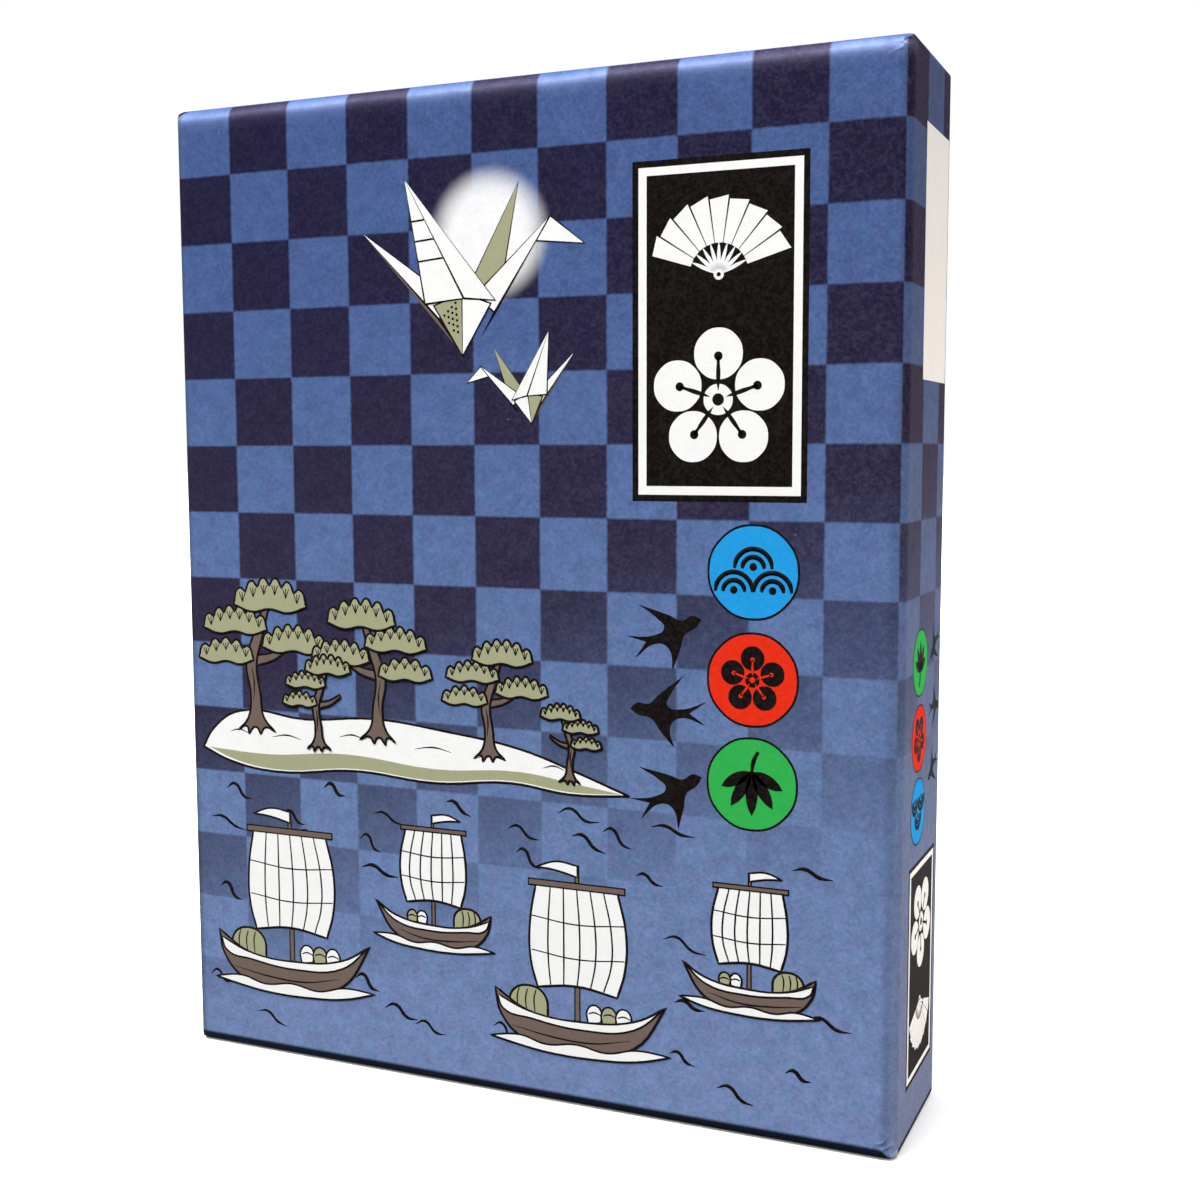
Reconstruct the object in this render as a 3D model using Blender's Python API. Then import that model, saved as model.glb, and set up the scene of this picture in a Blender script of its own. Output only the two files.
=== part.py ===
"""Karuta card deck: a paper-wrapped board box whose full-depth lid covers a tray of cards.

Metres, +Z up. The box stands on its lower end, with the lid's printed face towards -Y and the
tray's back towards +Y. The origin is on the floor, midway across and midway through the box.
The box is sized outwards from the cards: cards, play, tray wall, lid fit, lid wall.
"""

import math

import bmesh
import bpy

MM = 0.001

# Cards: two stacks of picture cards on the left, two stacks of reading cards on the right
CARD_WIDTH = 59.0 * MM
CARD_HEIGHT = 78.0 * MM
CARD_THICKNESS = 0.9 * MM
CARD_CORNER_RADIUS = 3.0 * MM
CARD_AIR = 0.1 * MM  # between a card and the next one, or the tray's floor
CARD_SEAT = 0.1 * MM  # between a standing card's lower edge and what carries it
CARDS_PER_STACK = 24
LOOSE_CARDS = 10  # front cards of each stack that are pieces of their own
PACK_GROOVE = 0.3 * MM  # depth of the groove between the cards joined in a pack
COLUMN_PLAY = 0.9 * MM  # beside and between the two columns of stacks
HEADROOM = 2.5 * MM  # over the upper stacks
RIM_OVER_CARDS = 0.4 * MM  # the tray's rim stands this far in front of the front cards

# Board, papers and glue
LID_BOARD = 1.5 * MM
TRAY_BOARD = 1.5 * MM
WRAP_PAPER = 0.2 * MM
LINER_PAPER = 0.2 * MM
STAY_PAPER = 0.1 * MM  # tape that holds a board corner together
GLUE = 0.05 * MM
TURN_IN = 14.0 * MM  # wrap folded over the rim and down the inside
STAY_LEG = 12.0 * MM  # tape on either side of a corner
LINER_MARGIN = 1.0 * MM  # bare board round a liner

# Fit of the lid on the tray
LID_FIT = 0.3 * MM  # all round the tray's walls
LID_SEAT = 0.3 * MM  # between the lid's liner and the tray's rim
LID_SHORT = 0.3 * MM  # the lid's rim stops short of the tray's back

# Rounding
LID_EDGE_RADIUS = 1.75 * MM
TRAY_EDGE_RADIUS = 1.2 * MM
RIM_RADIUS = 0.5 * MM
FOLD_RADIUS = 0.3 * MM  # least radius of an inner corner
CORNER_STEPS = 3
EDGE_STEPS = 3
RIM_STEPS = 2

# Layers of a wrapped wall, counted from outside
SKIN = WRAP_PAPER + 2.0 * GLUE + STAY_PAPER
LID_WALL = SKIN + LID_BOARD + GLUE + WRAP_PAPER
TRAY_WALL = SKIN + TRAY_BOARD + GLUE + WRAP_PAPER
LID_FACE = SKIN + LID_BOARD + GLUE + LINER_PAPER
TRAY_FACE = SKIN + TRAY_BOARD + GLUE + LINER_PAPER

# Sizes that follow from the cards
STACK_COLUMNS = 2
STACK_ROWS = 2
CARD_PITCH = CARD_THICKNESS + CARD_AIR
STACK_DEPTH = CARDS_PER_STACK * CARD_PITCH
COLUMN_PITCH = CARD_WIDTH + COLUMN_PLAY
ROW_PITCH = CARD_HEIGHT + CARD_SEAT
TRAY_WIDTH = STACK_COLUMNS * COLUMN_PITCH + COLUMN_PLAY + 2.0 * TRAY_WALL
TRAY_HEIGHT = STACK_ROWS * ROW_PITCH + HEADROOM + 2.0 * TRAY_WALL
TRAY_DEPTH = TRAY_FACE + STACK_DEPTH + RIM_OVER_CARDS
LID_WIDTH = TRAY_WIDTH + 2.0 * (LID_FIT + LID_WALL)
LID_HEIGHT = TRAY_HEIGHT + 2.0 * (LID_FIT + LID_WALL)
BOX_DEPTH = TRAY_DEPTH + LID_SEAT + LID_FACE
LID_DEPTH = BOX_DEPTH - LID_SHORT

# Plain colours, linear
PRINT_BLUE = (0.065, 0.115, 0.33)
TRAY_BLUE = (0.022, 0.032, 0.105)
BOARD_GREY = (0.33, 0.31, 0.28)
LINER_WHITE = (0.83, 0.80, 0.72)
TAPE_BROWN = (0.42, 0.29, 0.17)
PICTURE_FACE = (0.80, 0.76, 0.64)
READING_FACE = (0.84, 0.82, 0.74)


def clear_scene():
    for old in list(bpy.data.objects):
        bpy.data.objects.remove(old, do_unlink=True)


def make_material(name, colour, roughness):
    material = bpy.data.materials.new(name)
    material.use_nodes = True
    shader = material.node_tree.nodes["Principled BSDF"]
    shader.inputs["Base Color"].default_value = (*colour, 1.0)
    shader.inputs["Roughness"].default_value = roughness
    shader.inputs["Metallic"].default_value = 0.0
    material.diffuse_color = (*colour, 1.0)
    return material


def make_object(name, mesh, material, parent, location=(0.0, 0.0, 0.0)):
    if not mesh.materials:
        mesh.materials.append(material)
    piece = bpy.data.objects.new(name, mesh)
    piece.parent = parent
    piece.location = location
    bpy.context.scene.collection.objects.link(piece)
    return piece


def make_carrier(name, location, turn):
    """An empty at the middle of a shell's closed face, with local +Y going into the box."""
    carrier = bpy.data.objects.new(name, None)
    carrier.location = location
    carrier.rotation_euler = (0.0, 0.0, turn)
    bpy.context.scene.collection.objects.link(carrier)
    return carrier


def arc(centre, radius, start, end, steps):
    """Points of a circular arc, with its angles in degrees."""
    points = []
    for step in range(steps + 1):
        angle = math.radians(start + (end - start) * step / steps)
        points.append((centre[0] + radius * math.cos(angle), centre[1] + radius * math.sin(angle)))
    return points


def rounded_outline(width, height, corner_radius, inset):
    """A rounded rectangle in X and Z, drawn in from the full outline by the inset."""
    radius = max(corner_radius - inset, FOLD_RADIUS)
    across = width / 2.0 - inset - radius
    up = height / 2.0 - inset - radius
    outline = []
    for turn, (side_x, side_z) in enumerate(((1, 1), (-1, 1), (-1, -1), (1, -1))):
        centre = (side_x * across, side_z * up)
        outline += arc(centre, radius, 90.0 * turn, 90.0 * (turn + 1), CORNER_STEPS)
    return outline


def loft(name, width, height, corner_radius, profile):
    """A closed body: a profile of (inset, depth) points carried round a rounded rectangle."""
    body = bmesh.new()
    rings = []
    for inset, depth in profile:
        outline = rounded_outline(width, height, corner_radius, inset)
        rings.append([body.verts.new((x, depth, z)) for x, z in outline])
    count = len(rings[0])
    for ring, following in zip(rings, rings[1:]):
        for here in range(count):
            there = (here + 1) % count
            body.faces.new((ring[here], ring[there], following[there], following[here]))
    body.faces.new(list(reversed(rings[0])))
    body.faces.new(rings[-1])
    return finish_mesh(name, body)


def finish_mesh(name, body):
    bmesh.ops.recalc_face_normals(body, faces=body.faces)
    mesh = bpy.data.meshes.new(name)
    body.to_mesh(mesh)
    body.free()
    return mesh


def wrap_profile(depth, wall, edge_radius):
    """Outer paper: round the face's edge, down the wall, over the rim and up the inside."""
    edge = (edge_radius, edge_radius)
    rim_depth = depth - RIM_RADIUS
    profile = arc(edge, edge_radius, 270.0, 180.0, EDGE_STEPS)
    profile += arc((RIM_RADIUS, rim_depth), RIM_RADIUS, 180.0, 90.0, RIM_STEPS)
    profile += arc((wall - RIM_RADIUS, rim_depth), RIM_RADIUS, 90.0, 0.0, RIM_STEPS)
    profile += [
        (wall, depth - TURN_IN),
        (wall - WRAP_PAPER, depth - TURN_IN),
        (wall - WRAP_PAPER, depth - WRAP_PAPER),
        (WRAP_PAPER, depth - WRAP_PAPER),
    ]
    return profile + arc(edge, edge_radius - WRAP_PAPER, 180.0, 270.0, EDGE_STEPS)


def board_profile(depth, board, edge_radius):
    """Folded board: one face and four walls, inside the wrap and its tapes."""
    rim = depth - WRAP_PAPER - GLUE
    inner = SKIN + board
    profile = arc((edge_radius, edge_radius), edge_radius - SKIN, 270.0, 180.0, EDGE_STEPS)
    return profile + [(SKIN, rim), (inner, rim), (inner, inner)]


def liner_profile(board):
    """Flat sheet on the inside of the face."""
    start = SKIN + board + GLUE
    margin = SKIN + board + LINER_MARGIN
    return [(margin, start), (margin, start + LINER_PAPER)]


def stay_mesh(name, width, height, depth, edge_radius, side_x, side_z):
    """Tape folded round one corner of the board, between the board and the wrap."""
    outer = WRAP_PAPER + GLUE
    inner = outer + STAY_PAPER
    centre = (width / 2.0 - edge_radius, height / 2.0 - edge_radius)
    outside = arc(centre, edge_radius - outer, 0.0, 90.0, CORNER_STEPS)
    inside = arc(centre, edge_radius - inner, 90.0, 0.0, CORNER_STEPS)
    leg_x = width / 2.0 - STAY_LEG
    leg_z = height / 2.0 - STAY_LEG
    outline = [(width / 2.0 - outer, leg_z), *outside, (leg_x, height / 2.0 - outer)]
    outline += [(leg_x, height / 2.0 - inner), *inside, (width / 2.0 - inner, leg_z)]
    near, far = edge_radius, depth - WRAP_PAPER - GLUE
    body = bmesh.new()
    front = [body.verts.new((side_x * x, near, side_z * z)) for x, z in outline]
    back = [body.verts.new((side_x * x, far, side_z * z)) for x, z in outline]
    for here in range(len(outline)):
        there = (here + 1) % len(outline)
        body.faces.new((front[here], front[there], back[there], back[here]))
    body.faces.new(front)
    body.faces.new(back)
    return finish_mesh(name, body)


def build_shell(name, carrier, left, size, wall, board, edge_radius, wrap_material):
    """One wrapped board shell: wrap, board, liner and four corner tapes."""
    width, height, depth = size
    outline = (width, height, edge_radius)
    layers = (
        ("wrap", wrap_profile(depth, wall, edge_radius), wrap_material),
        ("board", board_profile(depth, board, edge_radius), make_material("greyboard", BOARD_GREY, 0.9)),
        ("liner", liner_profile(board), make_material("liner paper", LINER_WHITE, 0.8)),
    )
    for layer, profile, material in layers:
        mesh = loft(f"{name}_{layer}", *outline, profile)
        make_object(f"{name}_{layer}", mesh, material, carrier)
    tape = make_material("corner tape", TAPE_BROWN, 0.75)
    for row, side_z in (("upper", 1), ("lower", -1)):
        for column, side_x in (("left", left), ("right", -left)):
            stay = f"{name}_stay_{row}_{column}"
            mesh = stay_mesh(stay, width, height, depth, edge_radius, side_x, side_z)
            make_object(stay, mesh, tape, carrier)


def pack_profile(cards):
    """Cards joined into one body, with a groove where one ends and the next begins."""
    profile = []
    for card in range(cards):
        near = card * CARD_PITCH
        profile += [(0.0, near), (0.0, near + CARD_THICKNESS)]
        if card < cards - 1:
            profile.append((PACK_GROOVE, near + CARD_THICKNESS + CARD_AIR / 2.0))
    return profile


def build_stack(kind, row, left_edge, foot, material):
    """One stack: loose cards in front, numbered from the front, and a joined pack behind."""
    centre_x = left_edge + CARD_WIDTH / 2.0
    centre_z = foot + CARD_HEIGHT / 2.0
    stack_front = BOX_DEPTH / 2.0 - TRAY_FACE - STACK_DEPTH
    outline = (CARD_WIDTH, CARD_HEIGHT, CARD_CORNER_RADIUS)
    card_mesh = loft(f"{kind}_card", *outline, pack_profile(1))
    for number in range(LOOSE_CARDS):
        place = (centre_x, stack_front + number * CARD_PITCH, centre_z)
        make_object(f"{kind}_card_{row}_{number + 1:02d}", card_mesh, material, None, place)
    pack_mesh = loft(f"{kind}_pack", *outline, pack_profile(CARDS_PER_STACK - LOOSE_CARDS))
    place = (centre_x, stack_front + LOOSE_CARDS * CARD_PITCH, centre_z)
    make_object(f"{kind}_pack_{row}", pack_mesh, material, None, place)


def build_lid():
    carrier = make_carrier("lid", (0.0, -BOX_DEPTH / 2.0, LID_HEIGHT / 2.0), 0.0)
    paper = make_material("printed paper", PRINT_BLUE, 0.55)
    size = (LID_WIDTH, LID_HEIGHT, LID_DEPTH)
    build_shell("lid", carrier, -1, size, LID_WALL, LID_BOARD, LID_EDGE_RADIUS, paper)


def build_tray():
    carrier = make_carrier("tray", (0.0, BOX_DEPTH / 2.0, LID_HEIGHT / 2.0), math.pi)
    paper = make_material("tray paper", TRAY_BLUE, 0.6)
    size = (TRAY_WIDTH, TRAY_HEIGHT, TRAY_DEPTH)
    build_shell("tray", carrier, 1, size, TRAY_WALL, TRAY_BOARD, TRAY_EDGE_RADIUS, paper)


def build_cards():
    inner_floor = LID_WALL + LID_FIT + TRAY_WALL
    inner_left = -TRAY_WIDTH / 2.0 + TRAY_WALL
    faces = {"picture": PICTURE_FACE, "reading": READING_FACE}
    for column, (kind, colour) in enumerate(faces.items()):
        material = make_material(f"{kind} card", colour, 0.5)
        left_edge = inner_left + COLUMN_PLAY + column * COLUMN_PITCH
        for level, row in enumerate(("lower", "upper")):
            foot = inner_floor + CARD_SEAT + level * ROW_PITCH
            build_stack(kind, row, left_edge, foot, material)


def main():
    clear_scene()
    build_tray()
    build_cards()
    build_lid()


main()
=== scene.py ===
"""Karuta card deck: a paper-wrapped box, lid over tray, with 96 cards in four stacks.

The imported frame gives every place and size. This script adds the printed paper,
the cards' faces and the studio around them.
"""

import random
from math import cos, degrees, pi, radians, sin

import bmesh
import bpy
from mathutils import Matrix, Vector


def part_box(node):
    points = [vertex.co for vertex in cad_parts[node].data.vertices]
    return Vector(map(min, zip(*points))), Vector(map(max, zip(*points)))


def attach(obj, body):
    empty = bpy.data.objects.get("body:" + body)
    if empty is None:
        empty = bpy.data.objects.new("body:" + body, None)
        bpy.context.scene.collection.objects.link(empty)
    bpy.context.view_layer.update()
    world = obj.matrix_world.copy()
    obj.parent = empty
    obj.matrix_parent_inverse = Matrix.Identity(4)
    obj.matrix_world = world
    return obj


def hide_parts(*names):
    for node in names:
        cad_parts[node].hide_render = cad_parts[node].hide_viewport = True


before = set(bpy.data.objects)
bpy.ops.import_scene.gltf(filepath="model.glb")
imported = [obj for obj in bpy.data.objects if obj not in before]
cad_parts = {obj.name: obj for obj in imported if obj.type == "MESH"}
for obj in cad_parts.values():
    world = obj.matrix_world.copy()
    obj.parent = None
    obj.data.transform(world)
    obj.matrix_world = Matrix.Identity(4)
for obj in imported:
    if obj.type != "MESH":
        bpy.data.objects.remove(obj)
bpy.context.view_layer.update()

MM = 0.001

# The box, as the frame has it
LID_LOW, LID_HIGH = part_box("lid_wrap")
TRAY_LOW, TRAY_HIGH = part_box("tray_wrap")
LID_SIZE = LID_HIGH - LID_LOW
FRONT = LID_LOW.y
RIGHT = LID_HIGH.x
WIDTH = LID_SIZE.x
HEIGHT = LID_SIZE.z

# Wrapping paper
PAPER = 0.2 * MM
WALL = 2.15 * MM
TURN_IN = 14.0 * MM
LID_EDGE_RADII = {"top": 2.6 * MM, "foot": 1.75 * MM, "left": 2.0 * MM, "right": 2.3 * MM, "corner": 0.8 * MM}
TRAY_EDGE_RADII = dict.fromkeys(("top", "foot", "left", "right", "corner"), 1.2 * MM)
RIM_RADIUS = 0.5 * MM
EDGE_SEGMENTS = 8
RIM_SEGMENTS = 4
FLAT_MARGIN = 0.4 * MM
SMOOTH_ANGLE = radians(32.0)

# Faces are chosen by their least area, or by how squarely they look to the front or the back
WALL_AREA = 0.0005
FACING = 0.9

# Check pattern of the lid's print, in squares from the upper left of the face
SQUARE = 11.78 * MM
SQUARE_RISE = 11.66 * MM
FIRST_COLUMN = -0.003
LAST_COLUMN = 11.0
FIRST_ROW = -0.024
FADE_ROW = 8.4
FADE_COLUMN = 1.5
FADE_PER_ROW = 0.19
FADE_PER_COLUMN = 0.066
FADE_CURVE = 1.3
PRINT_BLUR = 0.2 * MM
PRINT_WOBBLE = 0.2 * MM
FOLD_TAKE_UP = 1.6 * MM
FOLD_LIP = 0.4 * MM
FOLD_DEPTH = 3.0 * MM
FACE_DEPTH = 0.1 * MM

# The white bloom on the face
BLOOM_X = -3.0 * MM
BLOOM_Z = 143.0 * MM
BLOOM_RADIUS = 11.5 * MM

# Worn folds and corners, painted shade along the foot and the left fold. The crown is a painted highlight,
# the pale line along the top fold, as a share of its reach
RUB_REACH = 1.1 * MM
TOP_HIGHLIGHT_REACH = 5.0 * MM
TOP_HIGHLIGHT_WAVER = 0.9 * MM
TOP_HIGHLIGHT_STOPS = ((0.09, 0.0), (0.17, 0.12), (0.23, 0.29), (0.29, 0.44), (0.35, 0.58))
TOP_HIGHLIGHT_STOPS += ((0.41, 0.41), (0.51, 0.21), (0.66, 0.07), (0.9, 0.0))
FRONT_DEPTH = 2.9 * MM
LEFT_FOLD_SHADE = 2.1 * MM
FOOT_SHADE = 1.6 * MM
FOOT_SHADE_SWING = 0.65 * MM
FOOT_SHADE_END = 1.2 * MM
FOOT_SHADE_DEPTH = 1.9 * MM
FOOT_SHADE_SIDE = 0.2 * MM
CORNER_REACH = 8.0 * MM
TEAR_REACH = 3.1 * MM
TEAR_SLANT = 1.5
TEAR_WAVER = 0.6 * MM
TRAY_RUB_REACH = 1.3 * MM
TRAY_CORNER_REACH = 6.0 * MM

# Printed shapes: thin plates on the paper, in layers. Lines and the merge are in millimetres
FIRST_LAYER = 0.012 * MM
LAYER_STEP = 0.003 * MM
SUNK = 0.01 * MM
STROKE_FLATNESS = 0.01
CURVE_STEPS = 6
LINE = 0.42
FINE_LINE = 0.34
MERGE = 0.0002
MARK_LEVEL = 6
WATER_SEED = 11

# Cards
CARD_BORDER = 1.6 * MM
CARD_CORNER = 3.0 * MM
CARD_EDGE = 0.16 * MM
CARD_FOLD = 0.05 * MM
CARD_THICKNESS = 0.9 * MM
CARD_PITCH = 1.0 * MM
CARDS_IN_PACK = 14
LOOSE_CARDS = 10
CARD_ASPECT = 0.756
CARD_GRAIN = 220.0
SOFT_EDGE = 0.006

WHITE = (1.0, 1.0, 1.0, 1.0)


def clear_selection():
    bpy.ops.object.select_all(action="DESELECT")


def pick(piece):
    """Add a piece to the selection and make it the active one."""
    piece.select_set(True)
    bpy.context.view_layer.objects.active = piece


def set_mode(mode):
    bpy.ops.object.mode_set(mode=mode)


def apply_transform():
    bpy.ops.object.transform_apply(location=True, rotation=True, scale=True)


def add_block(size, middle):
    """A plain block, ready for edit mode."""
    clear_selection()
    bpy.ops.mesh.primitive_cube_add(size=1.0, location=middle)
    block = bpy.context.object
    block.scale = size
    apply_transform()
    return block


def add_object(name, data):
    piece = bpy.data.objects.new(name, data)
    bpy.context.collection.objects.link(piece)
    return piece


def cover(piece, *materials):
    piece.data.materials.clear()
    for material in materials:
        piece.data.materials.append(material)


def choose(piece, kind, test):
    """In edit mode, select the faces or edges that pass the test, and nothing else."""
    bpy.ops.mesh.select_mode(type="FACE" if kind == "faces" else "EDGE")
    bpy.ops.mesh.select_all(action="DESELECT")
    shape = bmesh.from_edit_mesh(piece.data)
    for part in getattr(shape, kind):
        if test(part):
            part.select_set(True)
    bmesh.update_edit_mesh(piece.data)


def srgb(red, green, blue):
    """A colour as it shows on screen, 0 to 255, made linear."""
    levels = [level / 255.0 for level in (red, green, blue)]
    linear = [(v / 12.92 if v <= 0.04045 else ((v + 0.055) / 1.055) ** 2.4) for v in levels]
    return (*linear, 1.0)


def grey(level):
    """A linear level, with no colour."""
    return (level, level, level, 1.0)


# Materials


class Tone:
    """A socket in a material's nodes. Sums on it add Math nodes, and add() adds any shader node."""

    def __init__(self, socket):
        self.socket = socket

    def add(self, kind, sockets=None, settings=None, out=0):
        tree = self.socket.id_data
        node = tree.nodes.new("ShaderNode" + kind)
        for name, value in (settings or {}).items():
            if name == "stops":
                stops = node.color_ramp.elements
                while len(stops) < len(value):
                    stops.new(1.0)
                for stop, (position, colour) in zip(stops, value):
                    stop.position = position
                    stop.color = colour
            else:
                setattr(node, name, value)
        for key, value in (sockets or {}).items():
            if isinstance(value, Tone):
                tree.links.new(value.socket, node.inputs[key])
            else:
                node.inputs[key].default_value = value
        return Tone(node.outputs[out])

    def sum(self, operation, *values):
        return self.add("Math", dict(enumerate(values)), {"operation": operation})

    def __add__(self, other):
        return self.sum("ADD", self, other)

    def __sub__(self, other):
        return self.sum("SUBTRACT", self, other)

    def __rsub__(self, other):
        return self.sum("SUBTRACT", other, self)

    def __mul__(self, other):
        return self.sum("MULTIPLY", self, other)

    def __truediv__(self, other):
        return self.sum("DIVIDE", self, other)

    def __gt__(self, other):
        return self.sum("GREATER_THAN", self, other)

    def __lt__(self, other):
        return self.sum("LESS_THAN", self, other)

    def __abs__(self):
        return self.sum("ABSOLUTE", self)

    def __pow__(self, other):
        return self.sum("POWER", self, other)

    def sign(self):
        return self.sum("SIGN", self)

    def sine(self):
        return self.sum("SINE", self)

    def rise(self, high, low=0.0):
        """Rises from 0 at the low value to 1 at the high one, without a hard corner."""
        sockets = {"Value": self, "From Min": low, "From Max": high}
        return self.add("MapRange", sockets, {"interpolation_type": "SMOOTHSTEP"})

    def clamp(self, low=0.0, high=1.0):
        return self.add("Clamp", {"Value": self, "Min": low, "Max": high})

    def split(self):
        parts = self.add("SeparateXYZ", {0: self}).socket.node.outputs
        return [Tone(part) for part in parts]

    def noise(self, scale, detail=2.0, roughness=0.5, distortion=0.0):
        sockets = {"Vector": self, "Scale": scale, "Detail": detail}
        sockets.update({"Roughness": roughness, "Distortion": distortion})
        return self.add("TexNoise", sockets)

    def ramp(self, *stops):
        return self.add("ValToRGB", {"Fac": self}, {"stops": stops})

    def mix(self, first, second):
        """Two colours mixed by this value."""
        return self.add("Mix", {0: self, 6: first, 7: second}, {"data_type": "RGBA"}, out=2)

    def scaled(self, amount):
        """A colour made lighter or darker by a value."""
        return self.add("VectorMath", {0: self, 3: amount}, {"operation": "SCALE"})

    def tinted(self, tint):
        """A colour multiplied by another one."""
        return self.add("VectorMath", {0: self, 1: tint}, {"operation": "MULTIPLY"})

    def bump(self, depth, strength=1.0):
        return self.add("Bump", {"Height": self, "Distance": depth, "Strength": strength})


def start_material(name, coordinates="Object"):
    """A new material, its surface coordinates and its shader node."""
    material = bpy.data.materials.new(name)
    material.use_nodes = True
    tree = material.node_tree
    place = Tone(tree.nodes.new("ShaderNodeTexCoord").outputs[coordinates])
    return material, place, tree.nodes["Principled BSDF"]


def finish_surface(shader, colour, roughness, level, more):
    """Link or set the shader's sockets."""
    sockets = {"Base Color": colour, "Roughness": roughness, "Specular IOR Level": level, **more}
    for name, value in sockets.items():
        socket = shader.inputs[name]
        if isinstance(value, Tone):
            shader.id_data.links.new(value.socket, socket)
        else:
            socket.default_value = value


def squared_distance(across, up):
    return across * across + up * up


def paper_grain(place):
    """The fibres of pressed paper: a tone about 1 for the colour, and a height for the bump."""
    mottle = place.noise(1700.0, 2.0, 0.55)
    threads = place.noise(760.0, 2.0, 0.55, 1.6)
    cloud = place.noise(330.0, 2.0)
    fibres = mottle + threads - 1.0
    tone = fibres * 0.45 + (cloud - 0.5) * 0.42 + 1.0
    return tone, fibres


def printed_ink(name, colour, roughness=0.7, level=0.02):
    """One flat ink of the print, on the fibres of its paper."""
    material, place, shader = start_material(name)
    tone, fibres = paper_grain(place)
    soft = tone * 0.22 + 0.78
    base = place.add("RGB")
    base.socket.default_value = colour
    bare_fibre = (fibres + 0.22).rise(0.5)
    base = (bare_fibre * 0.022).mix(base.scaled(soft), srgb(176, 166, 160))
    finish_surface(shader, base, fibres * 0.12 + roughness, level, {"Normal": fibres.bump(0.03 * MM, 0.5)})
    return material


def plain_paper(name, colour, shade, roughness=0.7, fleck=None):
    """Uncoated paper or board: two tones in clouds, fibres, and flecks where it is recycled stock."""
    material, place, shader = start_material(name)
    tone, fibres = paper_grain(place)
    base = place.noise(90.0, 3.0).mix(colour, shade).scaled(tone)
    if fleck:
        spots = place.add("TexVoronoi", {"Vector": place, "Scale": 700.0})
        base = (0.16 - spots).rise(0.06).mix(base, fleck)
    finish_surface(shader, base, fibres * 0.15 + roughness, 0.15, {"Normal": fibres.bump(0.05 * MM, 0.6)})
    return material


def from_folds(place, depth, near_side, near_end):
    """How far a point is from the nearest fold of its box, and from the nearest corner."""
    lesser = place.sum("MINIMUM", depth, near_side)
    greater = place.sum("MAXIMUM", depth, near_side)
    to_edge = place.sum("MAXIMUM", lesser, place.sum("MINIMUM", greater, near_end))
    return to_edge, depth + near_side + near_end


def tray_wrap_paper():
    """The tray's dyed paper: long pale fibres in it, clouds of tone, and folds rubbed lighter."""
    material, place, shader = start_material("tray_paper")
    x, y, z = place.split()
    tone, fibres = paper_grain(place)
    colour = place.noise(70.0, 3.0).mix(srgb(40, 46, 86), srgb(33, 38, 75))
    for scale, share in ((110.0, 0.34), (170.0, 0.26)):
        strand = 1.0 - abs(place.noise(scale, 0.0, 0.5, 1.0) - 0.5) * 60.0
        broken = (place.noise(scale * 1.7, 1.0) - 0.47).rise(0.1)
        colour = (strand.clamp() * broken * share).mix(colour, srgb(112, 120, 160))
    depth = TRAY_HIGH.y - y
    near_side = TRAY_HIGH.x - abs(x)
    near_end = (TRAY_HIGH.z - TRAY_LOW.z) / 2.0 - abs(z - HEIGHT / 2.0)
    to_edge, to_corner = from_folds(place, depth, near_side, near_end)
    scuff = place.noise(450.0, 4.0, 0.7)
    rub = (1.0 - to_edge / TRAY_RUB_REACH).clamp() * (scuff - 0.42).rise(0.2)
    worn = (1.0 - to_corner / TRAY_CORNER_REACH).clamp() * scuff
    colour = (rub * 0.3 + worn * 0.8).clamp().mix(colour.scaled(tone), srgb(122, 128, 160))
    finish_surface(shader, colour, fibres * 0.15 + 0.66, 0.12, {"Normal": fibres.bump(0.05 * MM, 0.7)})
    return material


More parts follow.
